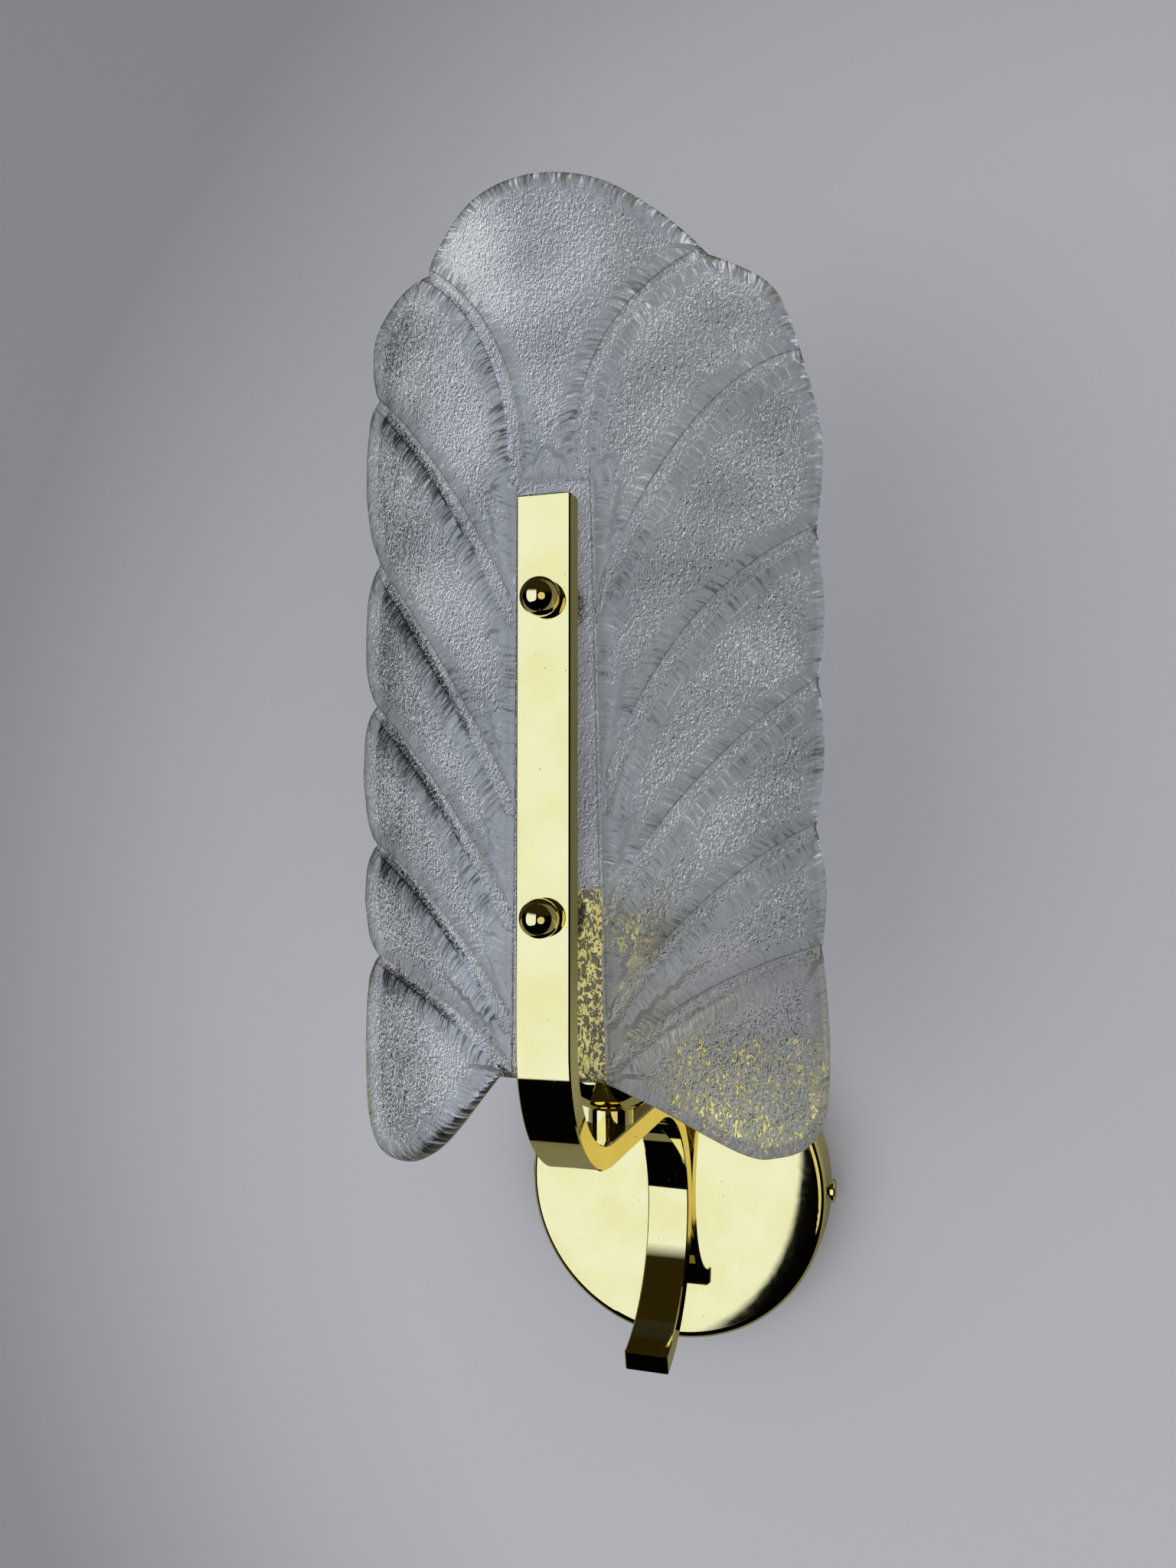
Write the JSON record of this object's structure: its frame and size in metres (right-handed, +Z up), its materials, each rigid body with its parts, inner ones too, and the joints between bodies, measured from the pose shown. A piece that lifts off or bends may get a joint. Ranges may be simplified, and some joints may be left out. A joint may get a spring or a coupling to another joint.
{
  "type": "leaf wall sconce",
  "caption": "Wall sconce with a scalloped cast glass leaf clamped by ball knobs to a polished brass ribbon that curls back to a round canopy, with an upright lamp socket behind the leaf.",
  "frame": {"origin": "on the wall plane behind the middle of the canopy, at the middle of the two wall slots", "axes": "+Z up, +X to the right seen from the room, +Y into the wall; the lamp stands out towards -Y"},
  "size_m": [0.1382, 0.1729, 0.3699],
  "materials": {
    "polished_brass": "mirror polished and lacquered",
    "plain_brass": "plain, as turned or stamped",
    "zinc_steel": "zinc plated",
    "cast_glass": "clear cast glass with a grainy ice surface",
    "clear_plastic": "clear flexible plastic",
    "black_rubber": "matt",
    "natural_nylon": "moulded",
    "black_phenolic": "moulded, slightly glossy",
    "lead_sheath": "smooth gold brown sheath",
    "core_brown": "smooth insulation"
  },
  "bodies": {
    "frame": {"canopy": "polished_brass", "ribbon_arm": "polished_brass", "glass_leaf": "cast_glass", "arm_screw": "zinc_steel", "arm_washer": "zinc_steel", "arm_pin": "zinc_steel", "knob_studs": "plain_brass", "front_gaskets": "clear_plastic", "leaf_bushes": "natural_nylon", "rear_gaskets": "black_rubber", "back_washers": "plain_brass", "back_nuts": "plain_brass", "socket_nipple": "plain_brass", "socket_ring": "polished_brass", "socket_cup": "polished_brass", "socket_sleeve": "polished_brass", "lamp_holder": "black_phenolic", "holder_shell": "plain_brass", "holder_tongue": "plain_brass", "lamp_lead": "lead_sheath", "lead_cores": "core_brown", "lead_grommet": "black_rubber", "terminal_block": "natural_nylon", "terminal_screws": "plain_brass", "terminal_stud": "zinc_steel", "terminal_nut": "zinc_steel", "wall_bracket": "zinc_steel", "earth_screw": "plain_brass"},
    "knob_upper": {"knob_upper": "polished_brass"},
    "knob_lower": {"knob_lower": "polished_brass"},
    "side_screw_left": {"side_screw_left": "polished_brass"},
    "side_screw_right": {"side_screw_right": "polished_brass"}
  },
  "joints": [
    {"name": "knob_upper_turn", "type": "hinge", "parent": "frame", "child": "knob_upper", "pos_m": [0, -0.165, 0.193], "axis": [0, -1, 0], "continuous": true},
    {"name": "knob_lower_turn", "type": "hinge", "parent": "frame", "child": "knob_lower", "pos_m": [0, -0.165, 0.109], "axis": [0, -1, 0], "continuous": true},
    {"name": "side_screw_left_turn", "type": "hinge", "parent": "frame", "child": "side_screw_left", "pos_m": [-0.056, -0.009, 0], "axis": [-1, 0, 0], "continuous": true},
    {"name": "side_screw_right_turn", "type": "hinge", "parent": "frame", "child": "side_screw_right", "pos_m": [0.056, -0.009, 0], "axis": [1, 0, 0], "continuous": true}
  ]
}
